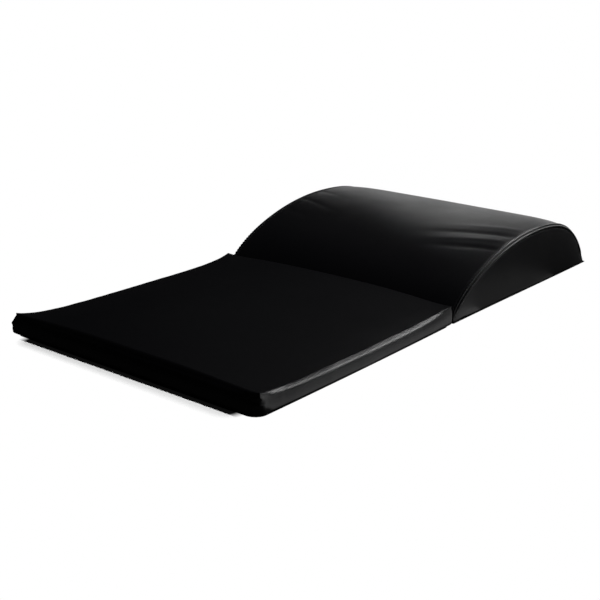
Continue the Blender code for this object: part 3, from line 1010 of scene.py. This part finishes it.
bolster_base = make_slab(
    "bolster_base_cloth",
    BASE_FINISH,
    "bolster",
    half_x=HALF_WIDTH - BASE_INSET,
    half_y=BOLSTER_LENGTH / 2 - BASE_INSET,
    centre_y=TOE + BOLSTER_LENGTH / 2,
    low=0.0,
    high=BASE_THICKNESS,
    corner=BOLSTER_BASE_CORNER,
    spread=bolster_foot,
)
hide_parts("bolster_base_panel")

hinge = make_slab(
    "hinge_tape",
    HINGE_FINISH,
    None,
    half_x=strip_high.x,
    half_y=(strip_high.y - strip_low.y) / 2,
    centre_y=FOLD_LINE,
    low=strip_low.z,
    high=strip_high.z,
    corner=TAPE_CORNER,
    lines=16,
)
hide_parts("hinge_strip")
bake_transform(hinge)


# Floor, light and camera


def make_floor():
    """A pale matt floor. To the camera it is white and keeps the mat's shadow in front, and it
    fades into the white surroundings away from a rectangle, the mat's plan but narrower. The
    mat's satin covers mirror a dim studio floor."""
    made = blank_material("pale_floor")
    tree = made.node_tree
    direct = seen_by_camera(tree)
    aside = vector_maths(tree, "ABSOLUTE", place_on_object(tree))
    plan = (cad_box[1][0] - SHADOW_INSET, cad_box[1][1], 0.0)
    over = vector_maths(tree, "SUBTRACT", aside, plan)
    beyond = vector_maths(tree, "MAXIMUM", over, (0.0, 0.0, 0.0))
    far = vector_maths(tree, "LENGTH", beyond, wanted="Value")
    fade = ramp(tree, far, FADE_START, FADE_END, 0.0, 1.0)
    shade = blended(tree, direct, MIRRORED_FLOOR, SEEN_FLOOR)
    matt = node(tree, "ShaderNodeBsdfDiffuse", {"Color": shade})
    glow = node(tree, "ShaderNodeEmission", {"Color": linear(WHITE), "Strength": 1.0})
    share = maths(tree, "MULTIPLY", fade, direct)
    both = node(tree, "ShaderNodeMixShader", {0: share, 1: matt.outputs[0], 2: glow.outputs[0]})
    node(tree, "ShaderNodeOutputMaterial", {"Surface": both.outputs[0]})
    mesh = bpy.data.meshes.new("floor")
    r = FLOOR_REACH
    corners = [(-r, -r, 0), (r, -r, 0), (r, r, 0), (-r, r, 0)]
    mesh.from_pydata(corners, [], [(0, 1, 2, 3)])
    floor = piece("floor", mesh, made)


def make_world():
    """White round the mat where the camera looks, and the dim walls of a studio elsewhere."""
    world = bpy.data.worlds.new("studio")
    bpy.context.scene.world = world
    world.use_nodes = True
    tree = world.node_tree
    tree.nodes.clear()
    strength = ramp(tree, seen_by_camera(tree), 0.0, 1.0, STUDIO_GLOW, 1.0)
    inputs = {"Color": linear(WHITE), "Strength": strength}
    back = node(tree, "ShaderNodeBackground", inputs)
    node(tree, "ShaderNodeOutputWorld", {"Surface": back.outputs[0]})


def softbox(name, place, target, size, power, mirrored=True, spread=180, only=()):
    """A rectangular lamp at a place, turned to face a target, which no camera sees. The size is
    its width and height in metres, and the power is in watts. One that isn't mirrored lights the
    cloth without a highlight, as a wide white ceiling would. A spread under 180 degrees stands
    for a grid before it, and only for flags that keep its light on some pieces."""
    lamp = bpy.data.lights.new(name, "AREA")
    lamp.shape = "RECTANGLE"
    lamp.size, lamp.size_y = size
    lamp.energy = power
    lamp.spread = math.radians(spread)
    made = bpy.data.objects.new(name, lamp)
    aim = Vector(target) - Vector(place)
    made.rotation_euler = aim.to_track_quat("-Z", "Y").to_euler()
    made.location = place
    made.visible_camera = False
    made.visible_glossy = mirrored
    bpy.context.scene.collection.objects.link(made)
    if only:
        flagged = bpy.data.collections.new(f"lit_by_{name}")
        for lit in only:
            flagged.objects.link(lit)
        made.light_linking.receiver_collection = flagged


make_floor()
make_world()

# A high soft fill, two panels behind whose reflections make the highlight along the crown, a
# faint one above, the key light from behind, and cards that give the right sides their tone
softbox("fill", (0.55, 0.45, 1.6), (0.0, 0.0, 0.0), (0.12, 0.12), 32, mirrored=False)
softbox("panel_behind", (-0.31, 1.3, 0.21), (-0.1, 0.2, 0.05), (1.3, 0.4), 2.15, only=on_bolster)
softbox(
    "gridded_panel",
    (-0.62, 1.3, 0.52),
    (0.4, 0.2, 0.09),
    (0.3, 0.36),
    0.085,
    spread=24,
    only=on_bolster,
)
softbox("panel_above", (-0.75, 1.0, 1.0), (0.0, 0.2, 0.05), (0.9, 0.6), 0.06)
softbox("key", (0.55, 1.4, 1.0), (0.1, -0.1, 0.0), (0.5, 0.4), 9)
softbox("card_beside", (0.3, -0.07, 0.04), (0.185, -0.07, 0.04), (0.37, 0.06), 0.036)
softbox("floor_card_near", (0.258, -0.155, 0.003), (0.258, -0.155, 1.0), (0.14, 0.43), 0.09)
softbox("floor_card_far", (0.268, 0.17, 0.003), (0.268, 0.17, 1.0), (0.16, 0.22), 0.011)

camera = bpy.data.objects.new("camera", bpy.data.cameras.new("camera"))
camera.data.lens = LENS
camera.data.sensor_width = 36.0
camera.data.clip_end = 100.0
way = Vector(
    (
        -math.sin(CAMERA_TURN) * math.cos(CAMERA_DOWN),
        math.cos(CAMERA_TURN) * math.cos(CAMERA_DOWN),
        -math.sin(CAMERA_DOWN),
    )
)
right = way.cross(Vector((0.0, 0.0, 1.0))).normalized()
above = right.cross(way)
turned_right = right * math.cos(CAMERA_ROLL) + above * math.sin(CAMERA_ROLL)
turned_above = above * math.cos(CAMERA_ROLL) - right * math.sin(CAMERA_ROLL)
axes = Matrix((turned_right, turned_above, -way)).transposed()
camera.matrix_world = Matrix.Translation(Vector(CAMERA_PLACE)) @ axes.to_4x4()
bpy.context.scene.collection.objects.link(camera)
bpy.context.scene.camera = camera
bpy.context.scene.view_settings.view_transform = "Standard"
